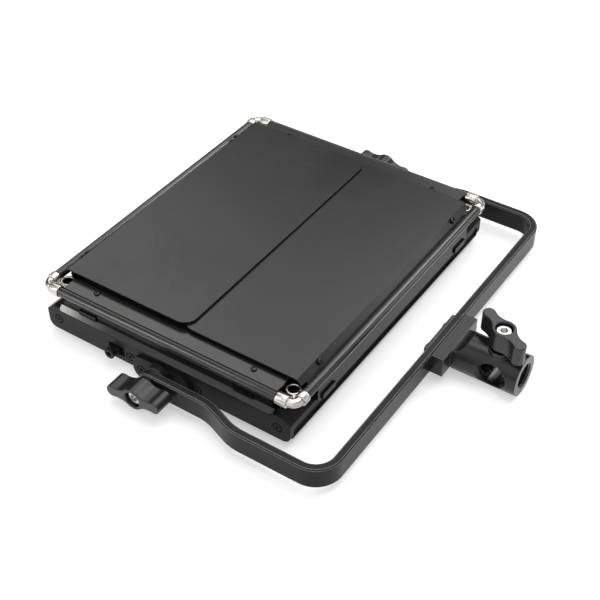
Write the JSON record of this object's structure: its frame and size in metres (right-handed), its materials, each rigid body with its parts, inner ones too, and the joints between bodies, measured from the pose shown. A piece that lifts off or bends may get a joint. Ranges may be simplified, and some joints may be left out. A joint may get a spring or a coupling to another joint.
{
  "type": "led panel light",
  "caption": "Flat LED panel light with a four-leaf barn door, folded shut, in a U-shaped tilt yoke with wing knobs and a round stand receiver.",
  "frame": {"origin": "centre of the back, on the surface the rubber feet stand on", "axes": "+Z out of the light's front, +X from the panel to the base of the folded yoke and its receiver, Y along the tilt axis"},
  "size_m": [0.3013, 0.3136, 0.0468],
  "materials": {
    "housing_black": "satin",
    "leaf_black": "matt",
    "nickel": "polished",
    "yoke_black": "satin",
    "receiver_black": "satin anodised",
    "screw_black": "satin",
    "screw_bright": "polished",
    "knob_black": "satin",
    "rubber": "matt",
    "diffuser_white": "matt opal",
    "circuit_board": "gloss",
    "green_board": "gloss",
    "aluminium_bare": "satin",
    "chip_yellow": "satin",
    "switch_plastic": "gloss"
  },
  "bodies": {
    "housing": {"back_cover": "housing_black", "back_cover_screws": "screw_black", "back_module": "housing_black", "corner_standoffs": "housing_black", "diffuser": "diffuser_white", "dimmer_potentiometer": "switch_plastic", "door_clips": "housing_black", "driver_board": "green_board", "end_hinge_rods": "nickel", "end_plate_screws": "screw_black", "far_door_rail": "housing_black", "far_end_plate": "housing_black", "far_left_elbow": "nickel", "far_pivot_plate": "housing_black", "far_right_elbow": "nickel", "friction_washers": "rubber", "front_bezel": "housing_black", "heat_spreader": "aluminium_bare", "led_board": "circuit_board", "led_chips": "chip_yellow", "left_door_rail": "housing_black", "left_side_rail": "housing_black", "lock_block": "housing_black", "lock_screw": "screw_bright", "near_door_rail": "housing_black", "near_end_plate": "housing_black", "near_left_elbow": "nickel", "near_pivot_plate": "housing_black", "near_right_elbow": "nickel", "pivot_plate_screws": "screw_black", "power_inlet": "switch_plastic", "power_switch": "switch_plastic", "right_door_rail": "housing_black", "right_side_rail": "housing_black", "rubber_feet": "rubber", "side_hinge_rods": "nickel"},
    "left_leaf": {"left_leaf_panel": "leaf_black", "left_leaf_hinge": "leaf_black", "left_leaf_screws": "screw_black"},
    "right_leaf": {"right_leaf_panel": "leaf_black", "right_leaf_hinge": "leaf_black", "right_leaf_screws": "screw_black"},
    "near_leaf": {"near_leaf_panel": "leaf_black", "near_leaf_hinge": "leaf_black", "near_leaf_screws": "screw_black"},
    "far_leaf": {"far_leaf_panel": "leaf_black", "far_leaf_hinge": "leaf_black", "far_leaf_screws": "screw_black"},
    "yoke": {"yoke_bar": "yoke_black", "receiver_backing_plate": "yoke_black", "receiver_bolts": "screw_black", "stand_receiver": "receiver_black"},
    "near_knob": {"near_tilt_knob": "knob_black", "near_tilt_knob_screw": "screw_bright"},
    "far_knob": {"far_tilt_knob": "knob_black", "far_tilt_knob_screw": "screw_bright"},
    "clamp_knob": {"receiver_knob": "knob_black", "receiver_knob_screw": "screw_bright"},
    "dimmer": {"dimmer_knob": "knob_black"},
    "button": {"power_button": "switch_plastic"}
  },
  "joints": [
    {"name": "left_leaf_hinge", "type": "hinge", "parent": "housing", "child": "left_leaf", "pos_m": [-0.1005, 0, 0.0376], "axis": [0, -1, 0], "range_deg": [0, 150]},
    {"name": "right_leaf_hinge", "type": "hinge", "parent": "housing", "child": "right_leaf", "pos_m": [0.1005, 0, 0.0376], "axis": [0, -1, 0], "range_deg": [-150, 0]},
    {"name": "near_leaf_hinge", "type": "hinge", "parent": "housing", "child": "near_leaf", "pos_m": [0, -0.122, 0.0376], "axis": [1, 0, 0], "range_deg": [0, 90]},
    {"name": "far_leaf_hinge", "type": "hinge", "parent": "housing", "child": "far_leaf", "pos_m": [0, 0.122, 0.0376], "axis": [-1, 0, 0], "range_deg": [0, 90]},
    {"name": "yoke_tilt", "type": "hinge", "parent": "housing", "child": "yoke", "pos_m": [0, 0, 0.0144], "axis": [0, 1, 0], "range_deg": [0, 180]},
    {"name": "near_knob_turn", "type": "hinge", "parent": "yoke", "child": "near_knob", "pos_m": [0, -0.1408, 0.0144], "axis": [0, -1, 0], "continuous": true},
    {"name": "far_knob_turn", "type": "hinge", "parent": "yoke", "child": "far_knob", "pos_m": [0, 0.1408, 0.0144], "axis": [0, 1, 0], "continuous": true},
    {"name": "clamp_knob_turn", "type": "hinge", "parent": "yoke", "child": "clamp_knob", "pos_m": [0.1774, 0, 0.0308], "axis": [0, 0, 1], "continuous": true},
    {"name": "dimmer_turn", "type": "hinge", "parent": "housing", "child": "dimmer", "pos_m": [-0.05, 0.126, 0.015], "axis": [0, 1, 0], "range_deg": [-20, 250]},
    {"name": "button_press", "type": "slide", "parent": "housing", "child": "button", "axis": [0, -1, 0], "range_m": [0, 0.002], "stiffness_N_per_m": 400}
  ],
  "couplings": [
    {"joint": "right_leaf_hinge", "follows": "left_leaf_hinge", "ratio": -1},
    {"joint": "near_leaf_hinge", "follows": "left_leaf_hinge", "ratio": 0.6},
    {"joint": "far_leaf_hinge", "follows": "left_leaf_hinge", "ratio": 0.6}
  ]
}
